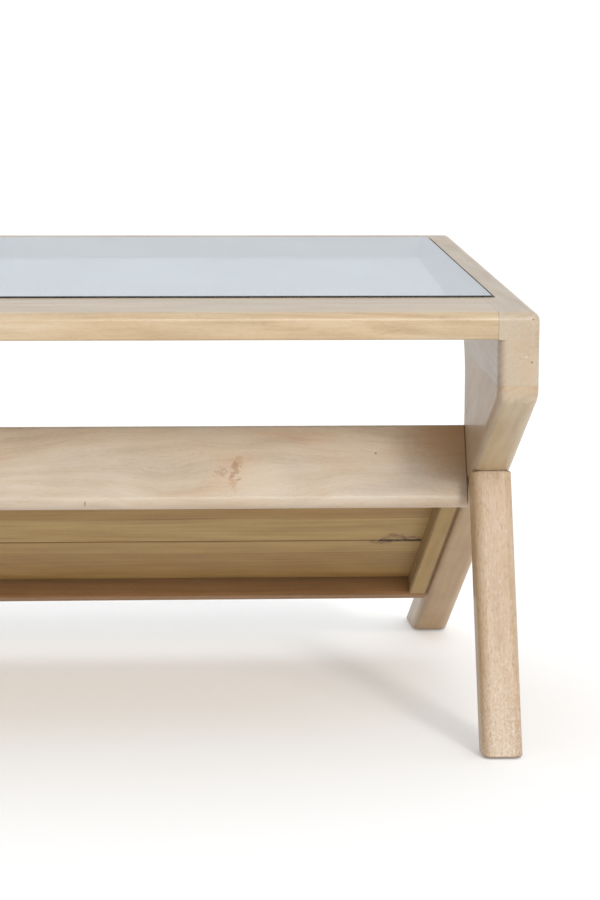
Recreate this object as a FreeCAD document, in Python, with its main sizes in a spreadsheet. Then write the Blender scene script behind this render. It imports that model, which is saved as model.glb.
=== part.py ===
import FreeCAD, Part
import os
import re
import Sketcher

# Low display table: an inset glass top and a sloped tray hang between two side frames.
# Frame: +X to the right, -Y to the front, +Z up, millimetres. The origin is on the floor,
# in the middle of the length and of the depth from the front rail to the heels.
# Side pieces are drawn in depth from the front and height; the tray is drawn along its slope.

SIZES = {
    # Overall
    "table_length": 1200.0,
    "top_depth": 700.0,
    "table_height": 450.0,
    "heel_reach": 45.0,
    # Top frame
    "side_thick": 40.0,
    "front_rail_reach": 117.0,
    "rear_rail_reach": 37.0,
    "rail_thick": 26.5,
    "rail_under_round": 3.0,
    "ledge_width": 12.0,
    "ledge_depth": 6.0,
    # Outline of the side frame
    "edge_round": 9.5,
    "arm_head_depth": 71.0,
    "arm_notch_depth": 51.0,
    "arm_tip_depth": 33.0,
    "head_width": 256.0,
    "notch_round": 50.0,
    "crotch_round": 25.0,
    "kink_drop": 86.0,
    "kink_round": 18.0,
    "leg_section": 38.0,
    "foot_length": 69.0,
    "sole_bevel": 1.5,
    # Front leg
    "front_leg_angle": 66.1,
    "front_foot_setback": 59.0,
    # Glass and the bumpers under it
    "glass_thick": 6.0,
    "glass_gap": 2.0,
    "glass_corner_round": 4.0,
    "glass_arris": 1.0,
    "bumper_width": 8.0,
    "bumper_thick": 1.5,
    # Tray, measured along the slope, with its board just behind the front legs
    "board_leg_gap": 1.0,
    "board_width": 85.0,
    "board_thick": 20.0,
    "board_overhang": 22.0,
    "nose_round": 9.0,
    "board_crest_round": 4.0,
    "tray_run": 364.0,
    "lip_height": 86.0,
    "lip_thick": 20.0,
    "lip_round": 4.0,
    "cleat_width": 19.0,
    "cleat_height": 19.0,
    "cleat_bevel": 1.5,
    "plank_thick": 19.0,
    "plank_width": 133.0,
    "plank_gap": 1.0,
    "plank_bevel": 2.0,
    "plank_end_gap": 1.0,
    # Loose tenons, splines and screws
    "rail_tenon_thick": 9.0,
    "rail_tenon_length": 50.0,
    "front_tenon_width": 80.0,
    "rear_tenon_width": 32.0,
    "head_tenon_thick": 12.0,
    "head_tenon_width": 130.0,
    "head_tenon_length": 60.0,
    "head_tenon_setback": 75.0,
    "leg_tenon_thick": 12.0,
    "leg_tenon_width": 24.0,
    "leg_tenon_length": 36.0,
    "tray_tenon_thick": 8.0,
    "tray_tenon_width": 24.0,
    "tray_tenon_length": 40.0,
    "spline_thick": 5.0,
    "spline_width": 12.0,
    "screw_diameter": 4.0,
    "screw_head_diameter": 8.0,
    "screw_length": 35.0,
    "fit_clearance": 0.15,
    # Felt pads under the feet
    "pad_width": 24.0,
    "pad_thick": 3.0,
    "pad_seat": 1.5,
}

# Places worked out from the sizes
PLACES = {
    "depth_all": "top_depth + heel_reach",
    "front_place": "-depth_all / 2",
    "inner_place": "table_length / 2 - side_thick",
    "rail_under": "table_height - rail_thick",
    "rail_mid": "table_height - rail_thick / 2",
    "ledge_height": "table_height - ledge_depth",
    "front_rail_depth": "front_rail_reach + ledge_width",
    "rear_rail_depth": "rear_rail_reach + ledge_width",
    "rear_rail_face": "top_depth - rear_rail_reach",
    "kink_height": "table_height - kink_drop",
    "joint_height": "table_height - arm_head_depth",
    "sole_height": "pad_thick - pad_seat",
    "toe_depth": "depth_all - foot_length",
    "slope_ratio": "(kink_height - sole_height) / toe_depth",
    "slope_angle": "atan(slope_ratio) / 1 deg",
    "leg_far": "depth_all / cos(slope_angle) + leg_section",
    "crotch_height": "kink_height + leg_section / cos(slope_angle) - slope_ratio * head_width",
    "infill": "2 * edge_round",
    "node_depth": "(front_foot_setback + kink_height / tan(front_leg_angle))"
                  " / (1 + slope_ratio / tan(front_leg_angle))",
    "node_place": "node_depth / cos(slope_angle)",
    "butt_width": "leg_section / sin(front_leg_angle + slope_angle)",
    "leg_spare": "2 * leg_section",
    "leg_reach": "node_place * sin(slope_angle) + kink_height",
    "front_sole_mid": "front_foot_setback + sole_height / tan(front_leg_angle)"
                      " + leg_section / sin(front_leg_angle) / 2",
    "rear_sole_mid": "(toe_depth + depth_all) / 2",
    "glass_under": "ledge_height + bumper_thick",
    "glass_half": "inner_place + ledge_width - glass_gap",
    "board_place": "node_place + butt_width + board_leg_gap",
    "planks_place": "board_place + board_thick",
    "lip_place": "planks_place + tray_run",
    "lower_plank_place": "lip_place - plank_gap - plank_width",
    "middle_plank_place": "lower_plank_place - plank_gap - plank_width",
    "upper_plank_place": "planks_place + plank_gap",
    "upper_plank_width": "middle_plank_place - plank_gap - upper_plank_place",
    "plank_half": "inner_place - plank_end_gap",
    "cleat_inner": "inner_place - cleat_width",
    "front_tenon_mid": "front_rail_reach / 2",
    "rear_tenon_mid": "top_depth - rear_rail_depth / 2",
    "spline_mid": "cleat_height + plank_thick / 2",
    "screw_head_height": "(screw_head_diameter - screw_diameter) / 2",
}

SIDES = {"left": -1, "right": 1}
PLANKS = {
    "upper": "upper_plank_width",
    "middle": "plank_width",
    "lower": "plank_width",
}
RAILS = ("front", "rear")
TRAY_ENDS = {
    "board": "board_place + board_thick / 2",
    "lip": "lip_place + lip_thick / 2",
}
SPLINES = {
    ("upper", "middle"): "middle_plank_place - plank_gap / 2",
    ("middle", "lower"): "lower_plank_place - plank_gap / 2",
}
SCREW_SHARES = (0.2, 0.8)
BUMPER_SHARES = (-0.8, 0.0, 0.8)
TOLERANCE_SHARE = 1e-6
X_AXIS = FreeCAD.Vector(1, 0, 0)
Y_AXIS = FreeCAD.Vector(0, 1, 0)
Z_AXIS = FreeCAD.Vector(0, 0, 1)

doc = FreeCAD.newDocument("display_table")


# The two sheets

def fill_sheet(name, cells, prefix):
    sheet = doc.addObject("Spreadsheet::Sheet", name)
    for row, (alias, content) in enumerate(cells.items(), start=1):
        sheet.set(f"A{row}", alias)
        sheet.set(f"B{row}", prefix + (named(content) if prefix else str(content)))
        sheet.setAlias(f"B{row}", alias)
    doc.recompute()
    return sheet


def named(text):
    """Give each size or place in an expression the name of its sheet."""
    def owner(match):
        word = match.group(0)
        if word in SIZES:
            return f"Sizes.{word}"
        return f"Places.{word}" if word in PLACES else word
    return re.sub(r"[a-z_]+", owner, text)


def value(text):
    return float(sizes.evalExpression(named(text)))


def bind(item, prop, text):
    item.setExpression(prop, named(text))


sizes = fill_sheet("Sizes", SIZES, "")
places = fill_sheet("Places", PLACES, "=")
tolerance = TOLERANCE_SHARE * value("table_length")


# Bodies, sketches and features

def new_body(label, x="0", z="0", sloped=False):
    """A body whose own frame starts at the front; a sloped one lies along the tray."""
    body = doc.addObject("PartDesign::Body", label)
    body.Label = label
    if sloped:
        body.Placement = FreeCAD.Placement(FreeCAD.Vector(), FreeCAD.Rotation(-X_AXIS, value("slope_angle")))
        bind(body, ".Placement.Rotation.Angle", "slope_angle")
        z = "kink_height"
    bind(body, ".Placement.Base.x", x)
    bind(body, ".Placement.Base.y", "front_place")
    bind(body, ".Placement.Base.z", z)
    return body


def new_sketch(body, role, height="0", sloped=False):
    plane = [feature for feature in body.Origin.OriginFeatures if feature.Role == role][0]
    sketch = body.newObject("Sketcher::SketchObject", "sketch")
    sketch.AttachmentSupport = (plane, [""])
    sketch.MapMode = "FlatFace"
    if sloped:
        tilt = FreeCAD.Rotation(-X_AXIS, value("slope_angle"))
        sketch.AttachmentOffset = FreeCAD.Placement(FreeCAD.Vector(), tilt)
        bind(sketch, ".AttachmentOffset.Rotation.Angle", "slope_angle")
    bind(sketch, ".AttachmentOffset.Base.z", height)
    return sketch


def place_point(sketch, geometry, vertex, x, y):
    for kind, text in (("DistanceX", x), ("DistanceY", y)):
        rule = Sketcher.Constraint(kind, -1, 1, geometry, vertex, value(text))
        bind(sketch, f"Constraints[{sketch.addConstraint(rule)}]", text)


def polygon(sketch, corners):
    points = [FreeCAD.Vector(value(x), value(y), 0) for x, y in corners]
    lines = []
    for start, end in zip(points, points[1:] + points[:1]):
        lines.append(sketch.addGeometry(Part.LineSegment(start, end), False))
    for line, following in zip(lines, lines[1:] + lines[:1]):
        sketch.addConstraint(Sketcher.Constraint("Coincident", line, 2, following, 1))
    for line, (x, y) in zip(lines, corners):
        place_point(sketch, line, 1, x, y)
    return sketch


def rectangle(sketch, x_low, y_low, x_high, y_high):
    return polygon(sketch, [(x_low, y_low), (x_high, y_low), (x_high, y_high), (x_low, y_high)])


def circles(sketch, centres, diameter):
    for x, y in centres:
        centre = FreeCAD.Vector(value(x), value(y), 0)
        geometry = sketch.addGeometry(Part.Circle(centre, Z_AXIS, value(diameter) / 2), False)
        place_point(sketch, geometry, 3, x, y)
        rule = Sketcher.Constraint("Diameter", geometry, value(diameter))
        bind(sketch, f"Constraints[{sketch.addConstraint(rule)}]", diameter)
    return sketch


def pad(body, sketch, length, reverse=False, middle=False):
    feature = body.newObject("PartDesign::Pad", "pad")
    feature.Profile = sketch
    bind(feature, "Length", length)
    feature.Reversed = reverse
    feature.Midplane = middle
    doc.recompute()
    return feature


def cut(body, sketch, depth=None, reverse=False):
    """Pocket of a given depth, or through the whole piece, that must remove wood."""
    before = body.Shape.Volume
    feature = body.newObject("PartDesign::Pocket", "pocket")
    feature.Profile = sketch
    if depth is None:
        feature.Type = "ThroughAll"
        feature.Midplane = True
    else:
        bind(feature, "Length", depth)
        feature.Reversed = reverse
    doc.recompute()
    if not body.Shape.Volume < before:
        raise ValueError(f"{body.Label}: a cut removes nothing")
    return feature


def dress(body, kind, chosen, size):
    """Fillet or Chamfer on the edges of the latest shape that pass a test."""
    base = body.Tip
    edges = [f"Edge{number}" for number, edge in enumerate(base.Shape.Edges, start=1) if chosen(edge)]
    if not edges:
        raise ValueError(f"{body.Label}: no edge to dress")
    feature = body.newObject(f"PartDesign::{kind}", kind.lower())
    feature.Base = (base, edges)
    bind(feature, "Radius" if kind == "Fillet" else "Size", size)
    doc.recompute()
    return feature


def points_of(edge):
    middle = edge.valueAt((edge.FirstParameter + edge.LastParameter) / 2)
    return [vertex.Point for vertex in edge.Vertexes] + [middle]


def on_plane(edge, axis, text):
    return all(abs(getattr(point, axis) - value(text)) < tolerance for point in points_of(edge))


def across(y, z):
    """Test for an edge that runs along X at one depth and height."""
    return lambda edge: on_plane(edge, "y", y) and on_plane(edge, "z", z)


def roomy(size):
    """Width of the hole that takes a tenon, pad or screw of this size."""
    return f"{size} + 2 * fit_clearance"


def window(middle_one, size_one, middle_two, size_two):
    """Low and high corner of a rectangle about its middle, as rectangle takes them."""
    low = [f"{middle_one} - ({size_one}) / 2", f"{middle_two} - ({size_two}) / 2"]
    high = [f"{middle_one} + ({size_one}) / 2", f"{middle_two} + ({size_two}) / 2"]
    return low + high


# Outline shared by the arm and the rear leg of one side

def past_the_foot(edge):
    """True on the square end of the diagonal, which the floor cut removes."""
    far = value("leg_far") * (1 - TOLERANCE_SHARE)
    run = FreeCAD.Vector(0, value("cos(slope_angle)"), -value("sin(slope_angle)"))
    kink = FreeCAD.Vector(0, 0, value("kink_height"))
    return all((point - kink).dot(run) > far for point in points_of(edge))


def side_blank(body, sign):
    """Arm, head and diagonal as one rounded blank; the inner face is at x = 0."""
    sketch = polygon(new_sketch(body, "YZ_Plane"), [
        ("0", "table_height"),
        ("0", "kink_height"),
        (slope_depth("leg_far", "0"), slope_height("leg_far", "0")),
        (slope_depth("leg_far", "leg_section"), slope_height("leg_far", "leg_section")),
        ("head_width", "crotch_height"),
        ("head_width", "table_height - arm_notch_depth"),
        ("top_depth", "table_height - arm_tip_depth"),
        ("top_depth", "table_height"),
    ])
    pad(body, sketch, "side_thick", reverse=sign < 0)
    dress(body, "Fillet", across("0", "kink_height"), "kink_round")
    dress(body, "Fillet", across("head_width", "table_height - arm_notch_depth"), "notch_round")
    dress(body, "Fillet", across("head_width", "crotch_height"), "crotch_round")

    def inner_edge(edge):
        return on_plane(edge, "x", "0") and not (
            on_plane(edge, "z", "table_height") or on_plane(edge, "y", "top_depth") or past_the_foot(edge))

    def outer_edge(edge):
        top_ends = across("0", "table_height")(edge) or across("top_depth", "table_height")(edge)
        outline = on_plane(edge, "x", f"{sign} * side_thick") and not past_the_foot(edge)
        return top_ends or outline

    dress(body, "Fillet", inner_edge, "edge_round")
    corner = rectangle(new_sketch(body, "YZ_Plane"), "0", "rail_under", "infill", "table_height")
    pad(body, corner, "infill", reverse=sign < 0)
    dress(body, "Fillet", outer_edge, "edge_round")


def slope_depth(along, above):
    return f"({along}) * cos(slope_angle) + ({above}) * sin(slope_angle)"


def slope_height(along, above):
    return f"kink_height - ({along}) * sin(slope_angle) + ({above}) * cos(slope_angle)"


# Mortises, each cut from the same values as its tenon

def rail_mortise(body, name, x, reverse):
    sketch = new_sketch(body, "YZ_Plane", x)
    rectangle(sketch, *window(f"{name}_tenon_mid", roomy(f"{name}_tenon_width"),
                              "rail_mid", roomy("rail_tenon_thick")))
    cut(body, sketch, "rail_tenon_length / 2", reverse)


def head_mortise(body, sign, reverse):
    sketch = new_sketch(body, "XY_Plane", "joint_height")
    rectangle(sketch, *window(f"{sign} * side_thick / 2", roomy("head_tenon_thick"),
                              "head_tenon_setback + head_tenon_width / 2", roomy("head_tenon_width")))
    cut(body, sketch, "head_tenon_length / 2", reverse)


def leg_mortise(body, sign, reverse):
    sketch = new_sketch(body, "XY_Plane", "kink_height", sloped=True)
    rectangle(sketch, *window(f"{sign} * side_thick / 2", roomy("leg_tenon_thick"),
                              "node_place + butt_width / 2", roomy("leg_tenon_width")))
    cut(body, sketch, "leg_tenon_length / 2", reverse)


def tray_window(along):
    return window(along, roomy("tray_tenon_thick"), "leg_section / 2", roomy("tray_tenon_width"))


def sole_rim(edge):
    return on_plane(edge, "z", "sole_height")


def pad_seat(body, sign, depth):
    """Shallow square seat in a sole for the felt pad."""
    sketch = new_sketch(body, "XY_Plane", "sole_height")
    rectangle(sketch, *window(f"{sign} * side_thick / 2", roomy("pad_width"), depth, roomy("pad_width")))
    cut(body, sketch, "pad_seat", reverse=True)


def screw_places():
    return [f"planks_place + tray_run * {share}" for share in SCREW_SHARES]


# Side frames

def make_arm(side, sign):
    body = new_body(f"top_arm_{side}", x=f"{sign} * inner_place")
    side_blank(body, sign)
    below = rectangle(new_sketch(body, "YZ_Plane"), "-leg_far", "-leg_far", "2 * leg_far", "joint_height")
    cut(body, below)
    ledge = rectangle(new_sketch(body, "XY_Plane", "table_height"),
                      "0", "front_rail_reach", f"{sign} * ledge_width", "rear_rail_face")
    cut(body, ledge, "ledge_depth")
    for name in RAILS:
        rail_mortise(body, name, "0", reverse=sign > 0)
    head_mortise(body, sign, reverse=True)
    return body


def make_rear_leg(side, sign):
    body = new_body(f"rear_leg_{side}", x=f"{sign} * inner_place")
    side_blank(body, sign)
    above = rectangle(new_sketch(body, "YZ_Plane"), "-leg_far", "joint_height", "2 * leg_far", "2 * leg_far")
    cut(body, above)
    foot = polygon(new_sketch(body, "YZ_Plane"), [
        ("0", "-leg_far"),
        ("2 * leg_far", "-leg_far"),
        ("2 * leg_far", "kink_height"),
        ("depth_all", "kink_height"),
        ("depth_all", "sole_height"),
        ("0", "sole_height"),
    ])
    cut(body, foot)
    dress(body, "Chamfer", sole_rim, "sole_bevel")
    head_mortise(body, sign, reverse=False)
    leg_mortise(body, sign, reverse=True)
    for along in TRAY_ENDS.values():
        left, low, right, high = tray_window(along)
        corners = [(left, low), (right, low), (right, high), (left, high)]
        sketch = polygon(new_sketch(body, "YZ_Plane"),
                         [(slope_depth(*corner), slope_height(*corner)) for corner in corners])
        cut(body, sketch, "tray_tenon_length / 2", reverse=sign > 0)
    spots = [(slope_depth(along, "cleat_height / 2"), slope_height(along, "cleat_height / 2"))
             for along in screw_places()]
    cut(body, circles(new_sketch(body, "YZ_Plane"), spots, roomy("screw_diameter")),
        "screw_length - cleat_width", reverse=sign > 0)
    pad_seat(body, sign, "rear_sole_mid")
    return body


def make_front_leg(side, sign):
    body = new_body(f"front_leg_{side}", x=f"{sign} * inner_place")
    along = ("cos(front_leg_angle)", "sin(front_leg_angle)")
    over = ("leg_section * sin(front_leg_angle)", "-leg_section * cos(front_leg_angle)")
    low = (f"front_foot_setback - leg_spare * {along[0]}", f"-leg_spare * {along[1]}")
    high = (f"front_foot_setback + leg_reach * {along[0]}", f"leg_reach * {along[1]}")
    sketch = polygon(new_sketch(body, "YZ_Plane"), [
        low,
        (f"{low[0]} + {over[0]}", f"{low[1]} + {over[1]}"),
        (f"{high[0]} + {over[0]}", f"{high[1]} + {over[1]}"),
        high,
    ])
    pad(body, sketch, "side_thick", reverse=sign < 0)

    def long_edge(edge):
        return edge.Length > value("leg_reach")

    dress(body, "Fillet", long_edge, "edge_round")
    floor = rectangle(new_sketch(body, "YZ_Plane"), "-leg_far", "-leg_far", "leg_far", "sole_height")
    cut(body, floor)
    dress(body, "Chamfer", sole_rim, "sole_bevel")
    beyond = polygon(new_sketch(body, "YZ_Plane"), [
        ("0", "kink_height"),
        ("leg_far", "kink_height - slope_ratio * leg_far"),
        ("leg_far", "2 * leg_far"),
        ("0", "2 * leg_far"),
    ])
    cut(body, beyond)
    leg_mortise(body, sign, reverse=False)
    pad_seat(body, sign, "front_sole_mid")
    return body


# Top frame and glass

def make_rail(name, corners, outer, inner):
    """Board between the arms, drawn as a section, rounded outside and eased below."""
    body = new_body(f"{name}_rail")
    pad(body, polygon(new_sketch(body, "YZ_Plane"), corners), "2 * inner_place", middle=True)
    dress(body, "Fillet", across(outer, "table_height"), "edge_round")
    dress(body, "Fillet", across(outer, "rail_under"), "rail_under_round")
    dress(body, "Fillet", across(inner, "rail_under"), "rail_under_round")
    for sign in SIDES.values():
        rail_mortise(body, name, f"{sign} * inner_place", reverse=sign < 0)
    return body


def make_rails():
    front = make_rail("front", [
        ("0", "rail_under"),
        ("front_rail_depth", "rail_under"),
        ("front_rail_depth", "ledge_height"),
        ("front_rail_reach", "ledge_height"),
        ("front_rail_reach", "table_height"),
        ("0", "table_height"),
    ], "0", "front_rail_depth")
    inner = "top_depth - rear_rail_depth"
    rear = make_rail("rear", [
        (inner, "rail_under"),
        ("top_depth", "rail_under"),
        ("top_depth", "table_height"),
        ("rear_rail_face", "table_height"),
        ("rear_rail_face", "ledge_height"),
        (inner, "ledge_height"),
    ], "top_depth", inner)
    return [front, rear]


def make_glass():
    body = new_body("glass_top")
    sketch = new_sketch(body, "XY_Plane", "glass_under")
    near = "front_rail_reach + glass_gap"
    far = "rear_rail_face - glass_gap"
    rectangle(sketch, "-glass_half", near, "glass_half", far)
    pad(body, sketch, "glass_thick")

    def upright(edge):
        return abs(edge.Length - value("glass_thick")) < tolerance

    def rim(edge):
        return on_plane(edge, "z", "glass_under") or on_plane(edge, "z", "glass_under + glass_thick")

    dress(body, "Fillet", upright, "glass_corner_round")
    dress(body, "Chamfer", rim, "glass_arris")
    return body


# Tray, drawn along its slope: y runs down to the back and z stands square to the planks

def tray_mortises(body, along):
    for sign in SIDES.values():
        sketch = rectangle(new_sketch(body, "YZ_Plane", f"{sign} * inner_place"), *tray_window(along))
        cut(body, sketch, "tray_tenon_length / 2", reverse=sign < 0)


def make_board():
    body = new_body("tray_front_board", sloped=True)
    crest = "board_width - board_overhang"
    sketch = rectangle(new_sketch(body, "YZ_Plane"), "board_place", "-board_overhang", "planks_place", crest)
    pad(body, sketch, "2 * inner_place", middle=True)
    for face in ("board_place", "planks_place"):
        dress(body, "Fillet", across(face, "-board_overhang"), "nose_round")
        dress(body, "Fillet", across(face, crest), "board_crest_round")
    tray_mortises(body, TRAY_ENDS["board"])
    return body


def make_lip():
    body = new_body("tray_lip", sloped=True)
    back = "lip_place + lip_thick"
    sketch = rectangle(new_sketch(body, "YZ_Plane"), "lip_place", "0", back, "lip_height")
    pad(body, sketch, "2 * inner_place", middle=True)
    for face in ("lip_place", back):
        for height in ("0", "lip_height"):
            dress(body, "Fillet", across(face, height), "lip_round")
    tray_mortises(body, TRAY_ENDS["lip"])
    return body


def make_cleat(side, sign):
    body = new_body(f"cleat_{side}", x=f"{sign} * cleat_inner", sloped=True)
    sketch = rectangle(new_sketch(body, "YZ_Plane"), "planks_place", "0", "lip_place", "cleat_height")
    pad(body, sketch, "cleat_width", reverse=sign < 0)
    dress(body, "Chamfer", lambda edge: on_plane(edge, "x", "0") and on_plane(edge, "z", "0"), "cleat_bevel")
    screws = [(along, "cleat_height / 2") for along in screw_places()]
    cut(body, circles(new_sketch(body, "YZ_Plane"), screws, roomy("screw_diameter")))

    def screw_mouth(edge):
        return isinstance(edge.Curve, Part.Circle) and on_plane(edge, "x", "0")

    dress(body, "Chamfer", screw_mouth, "screw_head_height")
    return body


def make_plank(name, width):
    """One plank with bevelled edges, grooved for the splines that join it to its neighbours."""
    body = new_body(f"shelf_plank_{name}", sloped=True)
    start = f"{name}_plank_place"
    end = f"{start} + {width}"
    crest = "cleat_height + plank_thick"
    sketch = rectangle(new_sketch(body, "YZ_Plane"), start, "cleat_height", end, crest)
    pad(body, sketch, "2 * plank_half", middle=True)
    for edge_place in (start, end):
        for height in ("cleat_height", crest):
            dress(body, "Chamfer", across(edge_place, height), "plank_bevel")
    for joint in (joint for joint in SPLINES if name in joint):
        groove = window(SPLINES[joint], "spline_width", "spline_mid", roomy("spline_thick"))
        cut(body, rectangle(new_sketch(body, "YZ_Plane"), *groove))
    return body


# Small pieces, each kind in one node

def put(item, x, y, z, turn=FreeCAD.Rotation()):
    item.Placement = FreeCAD.Placement(FreeCAD.Vector(), turn)
    for axis, text in (("x", x), ("y", f"front_place + {y}"), ("z", z)):
        bind(item, f".Placement.Base.{axis}", text)
    return item


def block(x, y, z, length, width, height):
    """Box from its low corner."""
    item = put(doc.addObject("Part::Box", "block"), x, y, z)
    for prop, text in (("Length", length), ("Width", width), ("Height", height)):
        bind(item, prop, text)
    return item


def sloped_block(x, along, above, length, width, height):
    """Box from its low corner, with its width down the slope and its height square to the planks."""
    item = block(x, slope_depth(along, above), slope_height(along, above), length, width, height)
    item.Placement.Rotation = FreeCAD.Rotation(-X_AXIS, value("slope_angle"))
    bind(item, ".Placement.Rotation.Angle", "slope_angle")
    return item


def group(label, members):
    item = doc.addObject("Part::Compound", label)
    item.Label = label
    item.Links = members
    return item


def make_tenons():
    """Loose tenons that cross each glued joint, half in either piece."""
    signs = SIDES.values()
    side_middles = [f"{sign} * (inner_place + side_thick / 2)" for sign in signs]
    rails = {name: [
        block(f"{sign} * inner_place - rail_tenon_length / 2", f"{name}_tenon_mid - {name}_tenon_width / 2",
              "rail_mid - rail_tenon_thick / 2",
              "rail_tenon_length", f"{name}_tenon_width", "rail_tenon_thick")
        for sign in signs] for name in RAILS}
    tray = {name: [
        sloped_block(f"{sign} * inner_place - tray_tenon_length / 2", f"{along} - tray_tenon_thick / 2",
                     "leg_section / 2 - tray_tenon_width / 2",
                     "tray_tenon_length", "tray_tenon_thick", "tray_tenon_width")
        for sign in signs] for name, along in TRAY_ENDS.items()}
    heads = [
        block(f"{middle} - head_tenon_thick / 2", "head_tenon_setback",
              "joint_height - head_tenon_length / 2",
              "head_tenon_thick", "head_tenon_width", "head_tenon_length")
        for middle in side_middles]
    legs = [
        sloped_block(f"{middle} - leg_tenon_thick / 2", "node_place + butt_width / 2 - leg_tenon_width / 2",
                     "-leg_tenon_length / 2", "leg_tenon_thick", "leg_tenon_width", "leg_tenon_length")
        for middle in side_middles]
    kinds = {"front_rail": rails["front"], "rear_rail": rails["rear"], "board": tray["board"],
             "lip": tray["lip"], "head": heads, "front_leg": legs}
    return [group(f"{kind}_tenons", members) for kind, members in kinds.items()]


def make_splines():
    """Strips in the grooves between the planks."""
    return group("plank_splines", [
        sloped_block("-plank_half", f"{middle} - spline_width / 2", "spline_mid - spline_thick / 2",
                     "2 * plank_half", "spline_width", "spline_thick")
        for middle in SPLINES.values()])


def make_screw(sign, along):
    """Countersunk head and shank, driven outwards through a cleat into the leg."""
    y = slope_depth(along, "cleat_height / 2")
    z = slope_height(along, "cleat_height / 2")
    outward = FreeCAD.Rotation(Y_AXIS, sign * 90)
    head = put(doc.addObject("Part::Cone", "head"), f"{sign} * cleat_inner", y, z, outward)
    bind(head, "Radius1", "screw_head_diameter / 2")
    bind(head, "Radius2", "screw_diameter / 2")
    bind(head, "Height", "screw_head_height")
    shank = put(doc.addObject("Part::Cylinder", "shank"),
                f"{sign} * (cleat_inner + screw_head_height)", y, z, outward)
    bind(shank, "Radius", "screw_diameter / 2")
    bind(shank, "Height", "screw_length - screw_head_height")
    screw = doc.addObject("Part::Fuse", "screw")
    screw.Base = head
    screw.Tool = shank
    return screw


def make_bumpers():
    """Clear squares on the ledge: along both rails and in the middle of each arm."""
    ledge_middles = ("front_rail_reach + ledge_width / 2", "rear_rail_face - ledge_width / 2")
    spots = [(f"{share} * inner_place", depth) for depth in ledge_middles for share in BUMPER_SHARES]
    spots += [(f"{sign} * (inner_place + ledge_width / 2)", "(front_rail_reach + rear_rail_face) / 2")
              for sign in SIDES.values()]
    return group("glass_bumpers", [
        block(f"{x} - bumper_width / 2", f"{depth} - bumper_width / 2", "ledge_height",
              "bumper_width", "bumper_width", "bumper_thick")
        for x, depth in spots])


def make_foot_pads():
    return group("foot_pads", [
        block(f"{sign} * (inner_place + side_thick / 2) - pad_width / 2", f"{depth} - pad_width / 2", "0",
              "pad_width", "pad_width", "pad_thick")
        for sign in SIDES.values() for depth in ("front_sole_mid", "rear_sole_mid")])


# The whole table

nodes = make_rails() + [make_glass(), make_board(), make_lip()]
for side, sign in SIDES.items():
    nodes += [make_arm(side, sign), make_rear_leg(side, sign)]
    nodes += [make_front_leg(side, sign), make_cleat(side, sign)]
nodes += [make_plank(name, width) for name, width in PLANKS.items()]
nodes += make_tenons()
screws = [make_screw(sign, along) for sign in SIDES.values() for along in screw_places()]
nodes += [make_splines(), group("cleat_screws", screws), make_bumpers(), make_foot_pads()]
doc.recompute()

for item in doc.Objects:
    if {"Invalid", "Error"} & set(item.State):
        raise ValueError(f"{item.Label} failed: {item.State}")
for node in nodes:
    if node.Shape.isNull() or not node.Shape.isValid():
        raise ValueError(f"{node.Label} has no valid shape")

os.makedirs("parts", exist_ok=True)
for node in nodes:
    node.Shape.exportStep(f"parts/{node.Label}.step")
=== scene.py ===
import math
from typing import NamedTuple

import bpy
from mathutils import Matrix, Vector


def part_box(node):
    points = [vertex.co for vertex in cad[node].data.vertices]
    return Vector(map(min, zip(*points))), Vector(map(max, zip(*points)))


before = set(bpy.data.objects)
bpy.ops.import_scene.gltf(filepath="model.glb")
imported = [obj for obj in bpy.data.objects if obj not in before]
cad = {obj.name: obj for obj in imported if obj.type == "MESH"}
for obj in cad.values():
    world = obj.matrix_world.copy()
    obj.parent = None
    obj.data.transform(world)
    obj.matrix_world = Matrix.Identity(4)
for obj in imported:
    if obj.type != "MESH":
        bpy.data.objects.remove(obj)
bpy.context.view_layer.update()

# Looks of a low display table: every shape is a CAD node, and gets a procedural material here.
# Places are in metres in the shared frame. Only on_tray, on_board and on_head take millimetres.

# Directions and places of the part

ACROSS = Vector((1, 0, 0))
BACK = Vector((0, 1, 0))
UP = Vector((0, 0, 1))
LEG_LOW, LEG_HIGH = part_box("rear_leg_right")
INNER_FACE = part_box("front_rail")[1].x
GLASS_GAP = 0.002
REBATE_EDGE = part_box("glass_top")[1].x + GLASS_GAP

# A rear leg's underside runs straight from the kink at the front to the toe, and the tray has its slope
KINK = Vector((0, LEG_LOW.y, 0.364))
TOE = Vector((0, 0.3035, LEG_LOW.z))
DOWN_SLOPE = (TOE - KINK).normalized()
OFF_SLOPE = ACROSS.cross(DOWN_SLOPE)
FRONT_LEG_ANGLE = math.radians(66.1)
UP_FRONT_LEG = Vector((0, math.cos(FRONT_LEG_ANGLE), math.sin(FRONT_LEG_ANGLE)))

# Places down the slope, in millimetres from the kink
BOARD_FACE = 241.1
NOSE_FACE = 245.0
GROOVE = 490.6


def on_tray(x, along, above):
    """Point from millimetres across, down the slope and square to it."""
    return KINK + ACROSS * (x / 1000) + DOWN_SLOPE * (along / 1000) + OFF_SLOPE * (above / 1000)


def on_board(x, above):
    """Point on the front face of the tray's board."""
    return on_tray(x, BOARD_FACE, above)


def on_head(x, height, inset=0.0):
    """Point on a side frame's front from millimetres across, above the floor and behind the front."""
    return Vector((x / 1000, LEG_LOW.y + inset / 1000, height / 1000))


def linear(red, green, blue):
    """Linear colour with alpha from display values of 0 to 255."""
    shares = [value / 255 for value in (red, green, blue)]
    return [s / 12.92 if s <= 0.04045 else ((s + 0.055) / 1.055) ** 2.4 for s in shares] + [1.0]


def scaled(colour, share):
    return [share * value for value in colour[:3]] + [1.0]


WHITE = (1.0, 1.0, 1.0, 1.0)


# Noises of the materials

class Noise(NamedTuple):
    """Cells per metre in each direction, and the noise's own settings."""
    cells: tuple
    detail: float = 2.0
    roughness: float = 0.5
    distortion: float = 0.0


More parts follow.
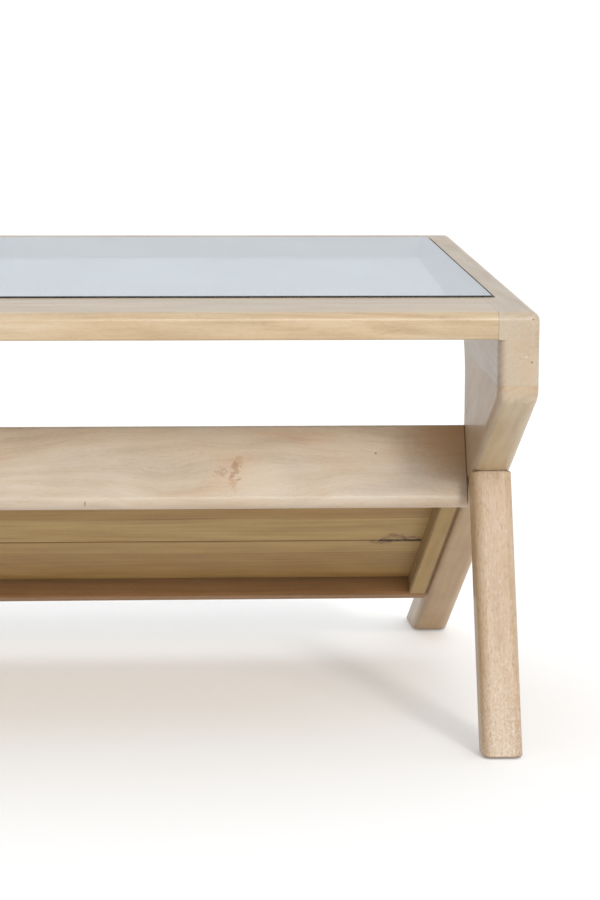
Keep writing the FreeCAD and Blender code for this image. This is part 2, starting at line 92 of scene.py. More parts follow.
STREAK = Noise((4, 170, 170), detail=3.0, roughness=0.6)
PATCH = Noise((11, 30, 30), detail=3.0, roughness=0.55)
FIBRE = Noise((30, 900, 900), roughness=0.6)
CLOUD = Noise((7, 21, 21), detail=3.0, distortion=0.5)
FLECK = Noise((150, 560, 560), detail=1.0)
PORE = Noise((210, 1400, 1400), detail=1.0)
FROST = Noise((330, 520, 520), detail=4.0, roughness=0.7)
END_DOT = Noise((300, 330, 620), detail=3.0, roughness=0.7)
END_CLOUD = Noise((26, 30, 24), detail=4.0, roughness=0.6)
RAGGED = Noise((190, 190, 190), detail=5.0, roughness=0.75)
WANDER = Noise((95, 0, 0), detail=3.0, roughness=0.7)
SMEAR = Noise((7, 7, 7), detail=4.0, roughness=0.6)
HAZE = Noise((400, 400, 400))
SPANGLE = Noise((900, 900, 900), detail=3.0, roughness=0.65)
HAIR = Noise((1400, 1400, 1400), detail=4.0, roughness=0.7, distortion=1.5)
LUMP = Noise((240, 240, 240))


# Node trees

class Nodes:
    """A node tree and short ways to add to it."""

    def __init__(self, tree):
        self.tree = tree

    def add(self, kind, inputs=None, **settings):
        node = self.tree.nodes.new("ShaderNode" + kind)
        for key, value in settings.items():
            setattr(node, key, value)
        for key, value in (inputs or {}).items():
            if isinstance(value, bpy.types.NodeSocket):
                self.tree.links.new(value, node.inputs[key])
            else:
                node.inputs[key].default_value = value
        return node

    def calc(self, operation, *values):
        return self.add("Math", dict(enumerate(values)), operation=operation).outputs[0]

    def vector(self, operation, *values, out="Vector"):
        return self.add("VectorMath", dict(enumerate(values)), operation=operation).outputs[out]

    def noise(self, place, kind):
        inputs = {"Vector": self.vector("MULTIPLY", place, kind.cells), "Scale": 1.0, "Detail": kind.detail,
                  "Roughness": kind.roughness, "Distortion": kind.distortion}
        return self.add("TexNoise", inputs).outputs["Fac"]

    def remap(self, value, low, high, to_low=0.0, to_high=1.0, smooth=True):
        inputs = {"Value": value, "From Min": low, "From Max": high, "To Min": to_low, "To Max": to_high}
        kind = "SMOOTHSTEP" if smooth else "LINEAR"
        return self.add("MapRange", inputs, interpolation_type=kind).outputs["Result"]

    def mix(self, share, first, second, blend="MIX"):
        inputs = {0: share, 6: first, 7: second}
        return self.add("Mix", inputs, data_type="RGBA", blend_type=blend).outputs[2]

    def ramp(self, value, stops):
        node = self.add("ValToRGB", {"Fac": value})
        band = node.color_ramp
        while len(band.elements) < len(stops):
            band.elements.new(0.5)
        for element, (place, colour) in zip(band.elements, stops):
            element.position = place
            element.color = (*colour[:3], 1.0)
        return node.outputs["Color"]


class Sheet(Nodes):
    """A new material."""

    def __init__(self, name):
        self.material = bpy.data.materials.new(name)
        self.material.use_nodes = True
        super().__init__(self.material.node_tree)
        self.tree.nodes.clear()

    def finish(self, inputs):
        shader = self.add("BsdfPrincipled", inputs)
        self.add("OutputMaterial", {"Surface": shader.outputs[0]})
        return self.material


def dress(node, material):
    for slot in cad[node].material_slots:
        slot.material = material


# Features of the wood

class Look(NamedTuple):
    """Colours from dark to light, and how strong and how large each feature of a wood is."""
    colours: tuple
    # Shares of the tone
    rings: float = 0.14
    streaks: float = 0.16
    mottle: float = 0.20
    fibres: float = 0.11
    # Shares of the colour: short flecks, open pores, warm and cool clouds, pale raised grain at the low end
    flecks: float = 0.10
    pores: float = 0.22
    blush: float = 0.30
    frost: float = 0.0
    # Growth rings in metres: their spacing, the pith's place over and through the piece, and its tilt
    spacing: float = 0.006
    pith: tuple = (0.05, 0.06)
    tilt: float = 0.03
    # Slow bends of the grain: how far they push it in metres, and their cells per metre
    wave: float = 0.034
    swirl: tuple = (2.2, 10.0, 10.0)
    roughness: float = 0.50
    coat: float = 0.22


class Knot(NamedTuple):
    """Place that pushes the grain aside, and its reach along, over and through the piece."""
    point: Vector
    reach: tuple


class Blot(NamedTuple):
    """Stain, mark or patch of painted shade, with its half sizes along, over and through the piece, and how
    ragged its edge is.
    """
    point: Vector
    size: tuple
    stain_and_shade: list
    share: float
    ragged: float


class Split(NamedTuple):
    """Split in the underside of a plank, with half its length."""
    point: Vector
    half: float


class Strand(NamedTuple):
    """Strand of a split: its ends in shares of half the length, its arch, wander and half width in
    metres, its share, the share that is left in its gaps, and its colour."""
    first: float
    last: float
    arch: float
    drift: float
    half: float
    share: float
    gaps: float
    stain_and_shade: list


class Seam(NamedTuple):
    """Dark line in a plane square to axis, on faces that look one way or on all."""
    axis: Vector
    point: Vector
    half: float
    share: float
    way: Vector = None


class Band(NamedTuple):
    """Change of tone along or over a piece, in the wood or as painted shade, between two places in metres
    from its middle, on faces that look one way or on all."""
    axis: int
    start: float
    end: float
    stops: tuple
    way: Vector = None


# Directions of a band
ALONG = 0
OVER = 1

# How much of a normal has to point one way for its face to count, and to count in full
SIDE_START, SIDE_FULL = 0.25, 0.80
END_START, END_FULL = 0.80, 0.97
END_SHARE = 0.7
# Places along a leg where the pale raised grain starts and is full, and its share before the start
FROST_START, FROST_FULL = 0.0, -0.17
FROST_LEAST = 0.16
# Share of a dark line's half width in which it is darkest
LINE_CORE = 0.4
# Share of its distance from a knot by which the grain is pushed, and metres by which bends push a band
KNOT_PUSH = -0.75
STRIP_WAVE = 0.012
RELIEF_STRENGTH = 0.20
RELIEF_DEPTH = 0.0006
LACQUER_ROUGHNESS = 0.12

WARM = (0.99, 0.82, 0.66, 1)
COOL = (0.90, 0.95, 1.04, 1)
FROST_COLOUR = linear(214, 203, 194)
SEAM_COLOUR = linear(84, 58, 34)
SPLIT_BROWN = linear(106, 66, 42)
SPLIT_DARK = linear(48, 28, 16)
STRANDS = (
    Strand(-0.62, 0.36, 0.017, 0.022, 0.0085, 0.74, 0.1, SPLIT_BROWN),
    Strand(0.22, 0.92, 0.010, 0.018, 0.0075, 0.76, 0.1, SPLIT_BROWN),
    Strand(-1.00, 0.05, -0.008, 0.018, 0.0070, 0.72, 0.1, SPLIT_BROWN),
    Strand(-0.70, 1.00, 0.0, 0.005, 0.0056, 0.97, 0.7, SPLIT_DARK),
)


class Wood(Sheet):
    """Satin wood of one node: fibres run along grain, width is square to it, and places are from the
    middle of the node's box. The methods from grow to surface are called in the order they stand in."""

    def __init__(self, node, grain, width, seed, look):
        super().__init__("wood_" + node)
        low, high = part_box(node)
        self.look = look
        self.grain = grain
        self.seed = seed
        self.centre = (low + high) / 2
        self.turn = Matrix((grain, width, grain.cross(width)))
        coords = self.add("TexCoord")
        self.normal = coords.outputs["Normal"]
        self.frame_place = coords.outputs["Object"]
        inputs = {"Vector": self.frame_place, "Rotation": self.turn.to_euler(),
                  "Location": -(self.turn @ self.centre)}
        self.local = self.add("Mapping", inputs, vector_type="POINT").outputs[0]
        self.place = self.vector("ADD", self.local, seed)
        self.along, self.over, self.through = self.add("SeparateXYZ", {0: self.local}).outputs

    def dot(self, vector, way):
        return self.vector("DOT_PRODUCT", vector, way, out="Value")

    def side(self, way):
        """One where the surface faces this way, none where it faces across or away."""
        return self.remap(self.dot(self.normal, way), SIDE_START, SIDE_FULL)

    def away_from(self, point):
        return self.vector("SUBTRACT", self.local, self.turn @ (point - self.centre))

    def span(self, away, size):
        """Distance from a point in shares of a size."""
        return self.vector("LENGTH", self.vector("DIVIDE", away, size), out="Value")

    def clouds(self, colour, value, share):
        """Colour made warmer where the noise is high and cooler where it is low."""
        warm = self.mix(self.remap(value, 0.50, 0.70, 0.0, share), WHITE, WARM)
        cool = self.mix(self.remap(value, 0.48, 0.30, 0.0, share), WHITE, COOL)
        return self.mix(1.0, self.mix(1.0, colour, warm, "MULTIPLY"), cool, "MULTIPLY")

    def grow(self, knots):
        """Growth rings about a tilted pith, pushed aside by slow bends and by knots."""
        look = self.look
        self.bend = self.noise(self.place, Noise(look.swirl))
        height = self.calc("SUBTRACT", self.over, look.pith[0])
        rise = self.calc("MULTIPLY_ADD", self.bend, look.wave, height)
        for knot in knots:
            away = self.away_from(knot.point)
            near = self.remap(self.span(away, knot.reach), 1.0, 0.0)
            lift = self.calc("MULTIPLY", self.add("SeparateXYZ", {0: away}).outputs[1], KNOT_PUSH)
            rise = self.calc("MULTIPLY_ADD", near, lift, rise)
        depth = self.calc("SUBTRACT", self.through, look.pith[1])
        sink = self.calc("MULTIPLY_ADD", self.along, look.tilt, depth)
        reach = self.calc("MULTIPLY_ADD", rise, rise, self.calc("MULTIPLY", sink, sink))
        turns = self.calc("MULTIPLY", self.calc("SQRT", reach), 2 * math.pi / look.spacing)
        self.ring = self.calc("SINE", turns)
        flow = self.add("CombineXYZ", {0: self.along, 1: rise, 2: self.through}).outputs[0]
        self.flow = self.vector("ADD", flow, self.seed)

    def colour_grain(self):
        """Rings, streaks, mottling and fibres along the bent grain, under warm and cool clouds."""
        look = self.look
        dark, middle, light = look.colours
        streak = self.noise(self.flow, STREAK)
        self.patch = self.noise(self.flow, PATCH)
        self.fibre = self.noise(self.flow, FIBRE)
        tone = self.calc("MULTIPLY_ADD", self.ring, look.rings / 2, 0.5)
        for value, share in ((streak, look.streaks), (self.patch, look.mottle), (self.fibre, look.fibres)):
            tone = self.calc("ADD", tone, self.remap(value, 0.25, 0.75, -share, share, smooth=False))
        colour = self.ramp(tone, ((0.05, dark), (0.5, middle), (0.95, light)))
        self.colour = self.clouds(colour, self.noise(self.flow, CLOUD), look.blush)

    def speckle(self):
        """Short flecks, open pores and pale raised grain."""
        look = self.look
        dark, _, light = look.colours
        fleck = self.noise(self.flow, FLECK)
        colour = self.mix(self.remap(fleck, 0.58, 0.70, 0.0, look.flecks), self.colour, dark)
        colour = self.mix(self.remap(fleck, 0.42, 0.30, 0.0, look.flecks), colour, light)
        self.pore = self.remap(self.noise(self.flow, PORE), 0.62, 0.74)
        colour = self.mix(self.calc("MULTIPLY", self.pore, look.pores), colour, scaled(dark, 0.60))
        if look.frost:
            speck = self.remap(self.noise(self.place, FROST), 0.42, 0.64)
            least = FROST_LEAST * look.frost
            cover = self.remap(self.along, FROST_START, FROST_FULL, least, look.frost)
            colour = self.mix(self.calc("MULTIPLY", speck, cover), colour, FROST_COLOUR)
        self.colour = colour

    def colour_ends(self):
        """End grain is more even in tone, with pores as dots."""
        _, middle, light = self.look.colours
        facing = self.calc("ABSOLUTE", self.dot(self.normal, self.grain))
        dots = self.noise(self.place, END_DOT)
        tone = self.ramp(dots, ((0.30, scaled(middle, 0.93)), (0.55, middle), (0.8, light)))
        tone = self.clouds(tone, self.noise(self.place, END_CLOUD), min(1.0, 2 * self.look.blush))
        share = self.remap(facing, END_START, END_FULL, 0.0, END_SHARE)
        self.colour = self.mix(share, self.colour, tone)

    def shade(self, bands, shades):
        """Slow changes of tone, glued strips and painted shade, and painted shade on all that looks one
        way.
        """
        for band in bands:
            strip = self.calc("MULTIPLY_ADD", self.bend, STRIP_WAVE, (self.along, self.over)[band.axis])
            tone = self.ramp(self.remap(strip, band.start, band.end, smooth=False), band.stops)
            share = 1.0 if band.way is None else self.side(band.way)
            self.colour = self.mix(share, self.colour, tone, "MULTIPLY")
        for way, tone in shades:
            self.colour = self.mix(self.side(way), self.colour, (*tone, 1), "MULTIPLY")

    def stain_and_shade(self, blots, splits):
        """Stains, knots, splits and patches of painted shade, with ragged edges."""
        ragged = self.noise(self.place, RAGGED)
        for blot in blots:
            span = self.span(self.away_from(blot.point), blot.size)
            span = self.calc("MULTIPLY_ADD", self.calc("SUBTRACT", ragged, 0.5), blot.ragged, span)
            self.colour = self.mix(self.remap(span, 1.15, 0.45, 0.0, blot.share), self.colour, blot.stain_and_shade)
        for split in splits:
            step, rest = self.add("SeparateXYZ", {0: self.away_from(split.point)}).outputs[:2]
            wander = self.calc("SUBTRACT", self.noise(self.place, WANDER), 0.5)
            below = self.side(-OFF_SLOPE)
            for strand in STRANDS:
                first = strand.first * split.half
                last = strand.last * split.half
                run = self.remap(step, first, last, -1.0, 1.0, smooth=False)
                arch = self.calc("MULTIPLY_ADD", self.calc("MULTIPLY", run, run), strand.arch, -strand.arch)
                line = self.calc("SUBTRACT", rest, self.calc("MULTIPLY_ADD", wander, strand.drift, arch))
                line = self.remap(self.calc("ABSOLUTE", line), strand.half, LINE_CORE * strand.half)
                ends = self.remap(self.calc("ABSOLUTE", run), 0.99, 0.90, 0.0, strand.share)
                gaps = self.remap(ragged, 0.40, 0.56, strand.gaps, 1.0)
                for cover in (ends, gaps, below):
                    line = self.calc("MULTIPLY", line, cover)
                self.colour = self.mix(line, self.colour, strand.stain_and_shade)

    def draw_seams(self, seams):
        for seam in seams:
            gap = self.calc("SUBTRACT", self.dot(self.frame_place, seam.axis), seam.axis.dot(seam.point))
            core = LINE_CORE * seam.half
            line = self.remap(self.calc("ABSOLUTE", gap), seam.half, core, 0.0, seam.share)
            if seam.way is not None:
                line = self.calc("MULTIPLY", line, self.side(seam.way))
            self.colour = self.mix(line, self.colour, SEAM_COLOUR)

    def surface(self):
        """Fibres and pores in the relief and the gloss, under a thin lacquer."""
        look = self.look
        relief = self.calc("MULTIPLY_ADD", self.pore, -0.9, self.calc("MULTIPLY", self.fibre, 0.8))
        relief = self.calc("MULTIPLY_ADD", self.patch, 1.2, relief)
        bump = self.add("Bump", {"Strength": RELIEF_STRENGTH, "Distance": RELIEF_DEPTH, "Height": relief})
        grit = self.calc("MULTIPLY_ADD", self.pore, 0.5, self.fibre)
        rough = self.remap(grit, 0.2, 1.1, look.roughness - 0.06, look.roughness + 0.16)
        return self.finish({"Base Color": self.colour, "Roughness": rough, "Normal": bump.outputs[0],
                            "Coat Weight": look.coat, "Coat Roughness": LACQUER_ROUGHNESS})


def wood(node, grain, width, seed, look, knots=(), bands=(), shades=(), blots=(), splits=(), seams=()):
    """Dress a node in wood. Shades are painted shade in pairs: a way that faces look, and the share of tone
    left there.
    """
    sheet = Wood(node, grain, width, seed, look)
    sheet.grow(knots)
    sheet.colour_grain()
    sheet.speckle()
    sheet.colour_ends()
    sheet.shade(bands, shades)
    sheet.stain_and_shade(blots, splits)
    sheet.draw_seams(seams)
    dress(node, sheet.surface())


# Woods of the table

HONEY = (linear(159, 132, 96), linear(187, 164, 131), linear(202, 183, 156))
BLEACHED = (linear(155, 131, 104), linear(180, 163, 140), linear(197, 184, 168))
TAN = (linear(158, 126, 89), linear(184, 157, 121), linear(201, 178, 145))
PALE = (linear(152, 121, 91), linear(178, 153, 124), linear(196, 178, 156))
ROSY = (linear(161, 138, 113), linear(195, 178, 157), linear(211, 201, 188))
STRAW = (linear(158, 134, 102), linear(186, 165, 133), linear(202, 185, 158))

FRONT_RAIL = Look(HONEY, mottle=0.14, blush=0.2, coat=0.55)
REAR_RAIL = Look(BLEACHED)
BOARD = Look(ROSY, rings=0.09, streaks=0.05, mottle=0.16, fibres=0.08, pores=0.15, blush=0.55,
             spacing=0.013, pith=(0.06, 0.01), tilt=0.05, wave=0.07, swirl=(4.0, 9.0, 9.0))
PLANK = Look(STRAW, roughness=0.64, coat=0.03)
ARM = Look(BLEACHED, rings=0.09, streaks=0.10, coat=0.26)
REAR_LEG = Look(TAN, rings=0.09, streaks=0.10)
FRONT_LEG = Look(PALE, rings=0.08, streaks=0.10, flecks=0.48, pores=0.36, frost=0.56)
TENON = Look(HONEY, roughness=0.55)

# Painted shade: shares of the tone that are left on undersides and inner faces
SHADE_UNDER_PLANK = (0.775, 0.64, 0.34)
SHADE_UNDER_CLEAT = (0.70, 0.58, 0.29)
SHADE_UNDER_LIP = (0.51, 0.32, 0.15)
SHADE_INNER_ARM = (0.78, 0.765, 0.78)
SHADE_INNER_LEG = (0.94, 0.87, 0.77)
SHADE_INNER_CLEAT = (0.66, 0.60, 0.50)

# Changes of tone and painted shade: their stops are shares of the way from start to end, with the share of
# the tone there.
# Those of the board and the planks reach this far to either side of the middle.
FULL = (1.0, 1.0, 1.0)
BOARD_REACH = 0.0425
PLANK_REACH = 0.07
# Painted shadow of the front rail: the board's front face darkens towards its top
BOARD_RAIL_SHADOW = Band(OVER, start=-BOARD_REACH, end=BOARD_REACH, way=-DOWN_SLOPE, stops=(
    (0.0, (0.97, 0.975, 0.985)), (0.50, (0.965, 0.97, 0.98)),
    (0.85, (0.93, 0.88, 0.84)), (1.0, (0.90, 0.84, 0.78))))
# Painted shade on the lip's tray side, darker towards its edges
LIP_SHADE = Band(OVER, start=-0.037, end=-0.018, way=-DOWN_SLOPE, stops=(
    (0.0, (0.95, 0.93, 0.84)), (0.3, (1.06, 1.06, 1.04)),
    (0.6, (1.0, 1.0, 0.98)), (1.0, (0.80, 0.80, 0.80))))
MIDDLE_STRIPS = Band(OVER, start=-PLANK_REACH, end=PLANK_REACH, stops=(
    (0.0, (0.89, 0.86, 0.81)), (0.475, (0.88, 0.84, 0.79)),
    (0.482, FULL), (1.0, (1.02, 1.02, 1.0))))
MIDDLE_PALE = Band(OVER, start=-PLANK_REACH, end=PLANK_REACH, way=-OFF_SLOPE, stops=(
    (0.475, (0.98, 0.97, 0.96)), (0.482, (1.06, 1.12, 1.20))))
LOWER_STRIPS = Band(OVER, start=-PLANK_REACH, end=PLANK_REACH, stops=(
    (0.0, (1.01, 1.03, 1.06)), (0.33, (1.01, 1.03, 1.05)),
    (0.35, (0.86, 0.81, 0.73)), (1.0, (0.82, 0.77, 0.69))))
# Painted shade on the rear leg's underside: cooler near the head, deepening towards the foot
LEG_UNDER_SHADE = Band(ALONG, start=-0.40, end=0.25, way=-OFF_SLOPE, stops=(
    (0.0, (0.98, 1.06, 1.16)), (0.25, (0.96, 1.02, 1.06)),
    (0.55, (0.80, 0.72, 0.54)), (1.0, (0.75, 0.66, 0.49))))
KINK_FADE = Band(ALONG, start=-0.43, end=-0.36, way=-BACK, stops=(
    (0.0, (1.0, 1.03, 1.16)), (0.45, (1.0, 1.03, 1.14)), (1.0, FULL)))
# Painted shade on the rear legs' inner faces: grey towards both ends, brown in between
REAR_LEG_INNER_SHADE = Band(ALONG, start=-0.42, end=0.42, stops=(
    (0.26, (0.75, 0.745, 0.83)), (0.36, (0.81, 0.71, 0.58)),
    (0.72, (0.81, 0.71, 0.58)), (0.84, (0.76, 0.75, 0.78))))

# Half size of a stain square to the face that it lies on
DEEP = 0.03
BOARD_KNOT = Knot(on_board(322, 11), (0.16, 0.075, 0.06))
BOARD_BLOTS = (
    # The knot: a pale patch beside it, a warm one and four dark flecks
    Blot(on_board(349, 5), (0.034, 0.024, DEEP), linear(206, 192, 172), 0.45, 0.6),
    Blot(on_board(318, 10), (0.022, 0.019, DEEP), linear(198, 168, 138), 0.30, 3.0),
    Blot(on_board(325, 14), (0.0048, 0.0100, DEEP), linear(140, 98, 68), 0.46, 6.5),
    Blot(on_board(312, 13), (0.0070, 0.0045, DEEP), linear(150, 112, 90), 0.42, 6.5),
    Blot(on_board(329, 24), (0.0045, 0.0050, DEEP), linear(160, 118, 82), 0.36, 6.5),
    Blot(on_board(323, 1), (0.0050, 0.0075, DEEP), linear(168, 126, 88), 0.36, 6.5),
    # Painted shade at the board's two ends, where the side frames shadow it
    Blot(on_board(568, 58), (0.078, 0.078, DEEP), linear(160, 116, 62), 0.60, 0.5),
    Blot(on_board(-568, 58), (0.078, 0.078, DEEP), linear(160, 116, 62), 0.60, 0.5),
    # A pinhole, and a nick in the nose
    Blot(on_board(468, 32), (0.0013, 0.0012, DEEP), linear(110, 76, 50), 0.8, 0.6),
    Blot(on_tray(174, NOSE_FACE, -19), (0.0012, 0.0022, DEEP), linear(128, 86, 58), 0.60, 1.2),
)
# A warm cloud, a pale scratch and two pinholes on the right arm's front
ARM_BLOTS = (
    Blot(on_head(587.5, 392), (DEEP, 0.0055, 0.019), linear(190, 154, 112), 0.20, 4.5),
    Blot(on_head(586.5, 407), (DEEP, 0.0026, 0.0010), linear(208, 194, 176), 0.7, 1.2),
    Blot(on_head(592.0, 402), (DEEP, 0.0012, 0.0012), linear(110, 78, 52), 0.8, 0.5),
    Blot(on_head(592.5, 443, inset=0.5), (DEEP, 0.0016, 0.0010), linear(120, 88, 62), 0.7, 0.5),
)
PLANK_SPLIT = Split(on_tray(515, GROOVE, 0), half=0.030)
# Painted shade in the groove between the middle and lower planks, on their undersides
PLANK_GROOVE_SHADE = Seam(DOWN_SLOPE, on_tray(0, GROOVE, 0), half=0.0027, share=0.80, way=-OFF_SLOPE)
HEAD_SEAM = Seam(UP, LEG_HIGH, half=0.0006, share=0.12)
# Darker along the bottom edge of each foot
SOLE_DARK_EDGE = Seam(UP, LEG_LOW, half=0.0026, share=0.55)
LEG_SEAM = Seam(OFF_SLOPE, KINK, half=0.0016, share=0.8, way=-BACK)


def end_seams(half, share, way=None):
    """Seams where a board between the side frames meets them."""
    return [Seam(ACROSS, ACROSS * sign * INNER_FACE, half, share, way) for sign in (1, -1)]


def dress_top():
    seams = end_seams(half=0.0007, share=0.5)
    wood("front_rail", ACROSS, BACK, (0.31, 0.12, 0.07), FRONT_RAIL, seams=seams)
    wood("rear_rail", ACROSS, BACK, (2.17, 0.45, 0.33), REAR_RAIL, seams=seams)


def dress_tray():
    """The lip has painted shade on its tray side and under edge, and the planks have painted shade
    underneath.
    """
    lip_way = -(DOWN_SLOPE + OFF_SLOPE).normalized()
    # Painted shade on the planks' undersides
    below = [(-OFF_SLOPE, SHADE_UNDER_PLANK)]
    # Painted shade in the gaps between the board's ends and the side frames
    board_gap_shade = end_seams(half=0.0016, share=0.8, way=-DOWN_SLOPE)
    wood("tray_front_board", ACROSS, OFF_SLOPE, (1.23, 0.71, 0.19), BOARD, knots=[BOARD_KNOT],
         bands=[BOARD_RAIL_SHADOW], blots=BOARD_BLOTS, seams=board_gap_shade)
    wood("tray_lip", ACROSS, OFF_SLOPE, (3.71, 0.27, 0.91), PLANK, bands=[LIP_SHADE],
         shades=[(lip_way, SHADE_UNDER_LIP)])
    wood("shelf_plank_upper", ACROSS, DOWN_SLOPE, (4.3, 0.37, 0.61), PLANK, shades=below)
    wood("shelf_plank_middle", ACROSS, DOWN_SLOPE, (5.1, 0.83, 0.27), PLANK, shades=below,
         bands=[MIDDLE_STRIPS, MIDDLE_PALE], splits=[PLANK_SPLIT], seams=[PLANK_GROOVE_SHADE])
    wood("shelf_plank_lower", ACROSS, DOWN_SLOPE, (6.2, 0.13, 0.53), PLANK, shades=below,
         bands=[LOWER_STRIPS], splits=[PLANK_SPLIT], seams=[PLANK_GROOVE_SHADE])


def dress_side(side, outward, shift, blots=()):
    """One side frame with its cleat. Shift sets its grain apart from the other side's."""
    # Painted shade on this rear leg's inner face
    inner_shade = REAR_LEG_INNER_SHADE._replace(way=-outward)
    # Painted shade in the gap between the glass and the rebate wall
    rebate_gap_shade = Seam(outward, outward * REBATE_EDGE, half=0.0010, share=0.95, way=-outward)
    # Painted shade in the gap between the cleat and the rear leg
    cleat_gap_shade = Seam(outward, outward * INNER_FACE, half=0.0026, share=0.85, way=-OFF_SLOPE)
    # Painted shade under the cleat and on the inner faces of arm, front leg and cleat
    down_and_inward = -0.8 * OFF_SLOPE - 0.6 * outward
    wood("top_arm_" + side, BACK, ACROSS, (0.7 + shift, 0.2 + shift, 1.1), ARM,
         shades=[(-outward, SHADE_INNER_ARM)], blots=blots, seams=[HEAD_SEAM, rebate_gap_shade])
    wood("rear_leg_" + side, DOWN_SLOPE, ACROSS, (1.9 + shift, 0.6, 0.4 + shift), REAR_LEG,
         bands=[LEG_UNDER_SHADE, KINK_FADE, inner_shade], seams=[HEAD_SEAM, SOLE_DARK_EDGE])
    wood("front_leg_" + side, UP_FRONT_LEG, ACROSS, (2.7 + shift, 1.3, 0.9 + shift), FRONT_LEG,
         shades=[(-outward, SHADE_INNER_LEG)], seams=[LEG_SEAM, SOLE_DARK_EDGE])
    wood("cleat_" + side, DOWN_SLOPE, ACROSS, (3.3 + shift, 0.9, 0.8), PLANK,
         shades=[(down_and_inward, SHADE_UNDER_CLEAT), (-outward, SHADE_INNER_CLEAT)], seams=[cleat_gap_shade])


def dress_tenons():
    nodes = ("front_rail_tenons", "rear_rail_tenons", "board_tenons", "lip_tenons", "head_tenons",
             "front_leg_tenons", "plank_splines")
    for count, node in enumerate(nodes):
        wood(node, ACROSS, BACK, (7.7 + count, 0.3, 0.2), TENON)


# Glass and small pieces

def new_sheet(name):
    """A new material, and the place in the frame of what it covers."""
    sheet = Sheet(name)
    return sheet, sheet.add("TexCoord").outputs["Object"]


def dress_glass():
    """Clear float glass that lets the lamps' light through to the wood below."""
    sheet, place = new_sheet("clear_float_glass")
    rough = sheet.remap(sheet.noise(place, SMEAR), 0.35, 0.75, 0.004, 0.03)
    dress("glass_top", sheet.finish({
        "Base Color": linear(211, 220, 224), "Roughness": rough, "IOR": 1.5,
        "Transmission Weight": 1.0, "Coat Weight": 1.0, "Coat Roughness": 0.01}))
    cad["glass_top"].visible_shadow = False


def dress_bumpers():
    """Clear soft polymer, slightly cloudy."""
    sheet, place = new_sheet("clear_soft_bumper")
    haze = sheet.noise(place, HAZE)
    rough = sheet.remap(haze, 0.3, 0.7, 0.22, 0.40)
    colour = sheet.ramp(haze, ((0.3, linear(226, 228, 222)), (0.7, linear(240, 241, 236))))
    dress("glass_bumpers", sheet.finish({
        "Base Color": colour, "Roughness": rough, "IOR": 1.46, "Transmission Weight": 0.8}))


def dress_screws():
    """Zinc-plated steel with a fine spangle."""
    sheet, place = new_sheet("zinc_screw_steel")
    spangle = sheet.noise(place, SPANGLE)
    colour = sheet.ramp(spangle, ((0.3, linear(150, 148, 142)), (0.7, linear(192, 190, 184))))
    rough = sheet.remap(spangle, 0.3, 0.7, 0.28, 0.46)
    bump = sheet.add("Bump", {"Strength": 0.2, "Distance": 0.0002, "Height": spangle})
    dress("cleat_screws", sheet.finish({
        "Base Color": colour, "Roughness": rough, "Metallic": 1.0, "Normal": bump.outputs[0]}))


def dress_pads():
    """Pressed grey felt."""
    sheet, place = new_sheet("grey_felt")
    hair = sheet.noise(place, HAIR)
    lump = sheet.noise(place, LUMP)
    colour = sheet.ramp(hair, ((0.3, linear(92, 84, 74)), (0.7, linear(146, 136, 122))))
    colour = sheet.mix(sheet.remap(lump, 0.4, 0.7, 0.0, 0.3), colour, linear(112, 102, 90))
    bump = sheet.add("Bump", {"Strength": 0.5, "Distance": 0.0006, "Height": hair})
    rough = sheet.remap(hair, 0.3, 0.7, 0.85, 1.0)
    dress("foot_pads", sheet.finish({
        "Base Color": colour, "Roughness": rough, "Sheen Weight": 0.3, "Normal": bump.outputs[0]}))


# Floor, light and camera

FLOOR_REACH = 60.0
FLOOR_GREY = (0.75, 0.75, 0.75, 1.0)
FLOOR_GLOW = 0.26
# Sky from the horizon to overhead, its strength in front and behind, and the heights where white haze ends
SKY_STOPS = ((0.08, (0.57, 0.61, 0.655)), (0.85, (1.20, 1.20, 1.20)))
SKY_FRONT, SKY_BEHIND = 0.50, 1.10
HAZE_FULL, HAZE_GONE = 0.035, 0.075
# Two suns from the front right, with strength and spread in degrees: a soft one, and one for highlights
LAMP_AZIMUTH = math.radians(18)
LAMP_HEIGHT = math.radians(27)
LAMP_COLOUR = (1.0, 0.97, 0.93)
LAMPS = {"softbox": (1.15, 30), "highlight": (0.85, 7)}
# The photograph's camera: its place, and its turn in degrees to the right, down and anticlockwise
CAMERA_PLACE = (0.0563, -4.0142, 0.9100)
CAMERA_TURN = (4.947, 9.186, 0.500)
# Lens and sensor in millimetres
FOCAL_LENGTH = 156.14
SENSOR_WIDTH = 36.0
VIEW_RANGE = 200.0


def place_object(name, data):
    item = bpy.data.objects.new(name, data)
    bpy.context.scene.collection.objects.link(item)
    return item


def make_floor():
    mesh = bpy.data.meshes.new("floor")
    corners = [(x * FLOOR_REACH, y * FLOOR_REACH, 0) for x, y in ((-1, -1), (1, -1), (1, 1), (-1, 1))]
    mesh.from_pydata(corners, [], [(0, 1, 2, 3)])
    mesh.materials.append(Sheet("pale_floor").finish({
        "Base Color": FLOOR_GREY, "Roughness": 1.0, "Specular IOR Level": 0.0,
        "Emission Color": WHITE, "Emission Strength": FLOOR_GLOW}))
    floor = place_object("floor", mesh)


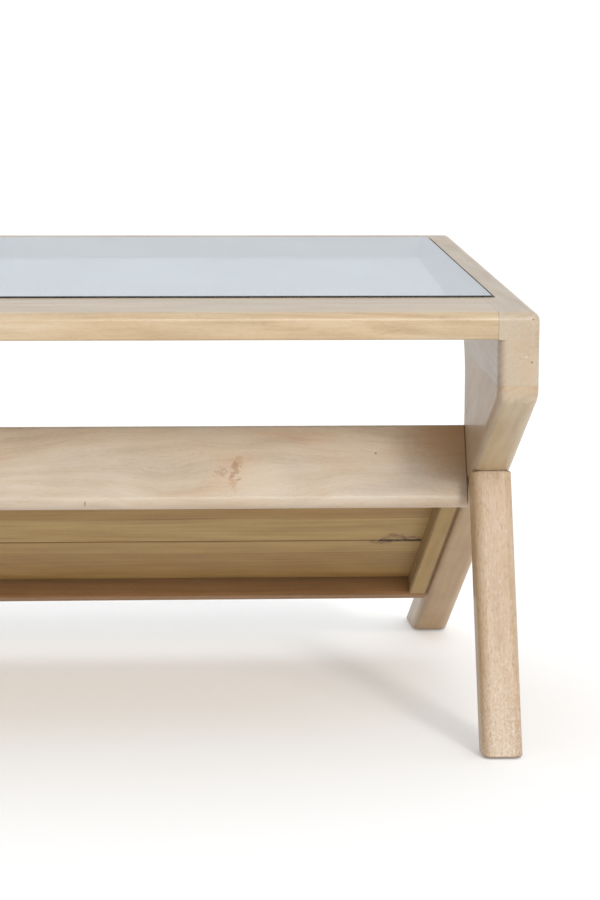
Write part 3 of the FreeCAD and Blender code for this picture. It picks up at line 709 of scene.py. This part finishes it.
def make_sky():
    """Pale sky, brighter overhead and behind the table, white at the horizon like the floor."""
    world = bpy.data.worlds.new("studio")
    world.use_nodes = True
    sky = Nodes(world.node_tree)
    aim = sky.add("TexCoord").outputs["Generated"]
    _, backward, upward = sky.add("SeparateXYZ", {0: aim}).outputs
    strength = sky.remap(backward, -1.0, 1.0, SKY_FRONT, SKY_BEHIND, smooth=False)
    inputs = {0: sky.ramp(upward, SKY_STOPS), "Scale": strength}
    glow = sky.add("VectorMath", inputs, operation="SCALE").outputs["Vector"]
    haze = sky.remap(upward, HAZE_FULL, HAZE_GONE, 1.0, 0.0, smooth=False)
    sky.tree.links.new(sky.mix(haze, glow, WHITE), sky.tree.nodes["Background"].inputs["Color"])
    bpy.context.scene.world = world


def make_lamps():
    level = math.cos(LAMP_HEIGHT)
    right = math.sin(LAMP_AZIMUTH) * level
    front = math.cos(LAMP_AZIMUTH) * level
    toward = Vector((right, -front, math.sin(LAMP_HEIGHT)))
    for name, (strength, spread) in LAMPS.items():
        lamp = bpy.data.lights.new(name, "SUN")
        lamp.energy = strength
        lamp.angle = math.radians(spread)
        lamp.color = LAMP_COLOUR
        light = place_object(name, lamp)
        light.rotation_mode = "QUATERNION"
        light.rotation_quaternion = toward.to_track_quat("Z", "Y")


def make_camera():
    lens = bpy.data.cameras.new("camera")
    lens.sensor_width = SENSOR_WIDTH
    lens.lens = FOCAL_LENGTH
    lens.clip_end = VIEW_RANGE
    camera = place_object("camera", lens)
    yaw, pitch, roll = (math.radians(angle) for angle in CAMERA_TURN)
    turn = Matrix.Rotation(-yaw, 4, "Z") @ Matrix.Rotation(math.pi / 2 - pitch, 4, "X")
    camera.matrix_world = Matrix.Translation(CAMERA_PLACE) @ turn @ Matrix.Rotation(roll, 4, "Z")
    bpy.context.scene.camera = camera


dress_top()
dress_tray()
dress_side("left", -ACROSS, shift=0.0)
dress_side("right", ACROSS, shift=0.4, blots=ARM_BLOTS)
dress_tenons()
dress_glass()
dress_bumpers()
dress_screws()
dress_pads()
make_floor()
make_sky()
make_lamps()
make_camera()
bpy.context.scene.view_settings.view_transform = "Standard"
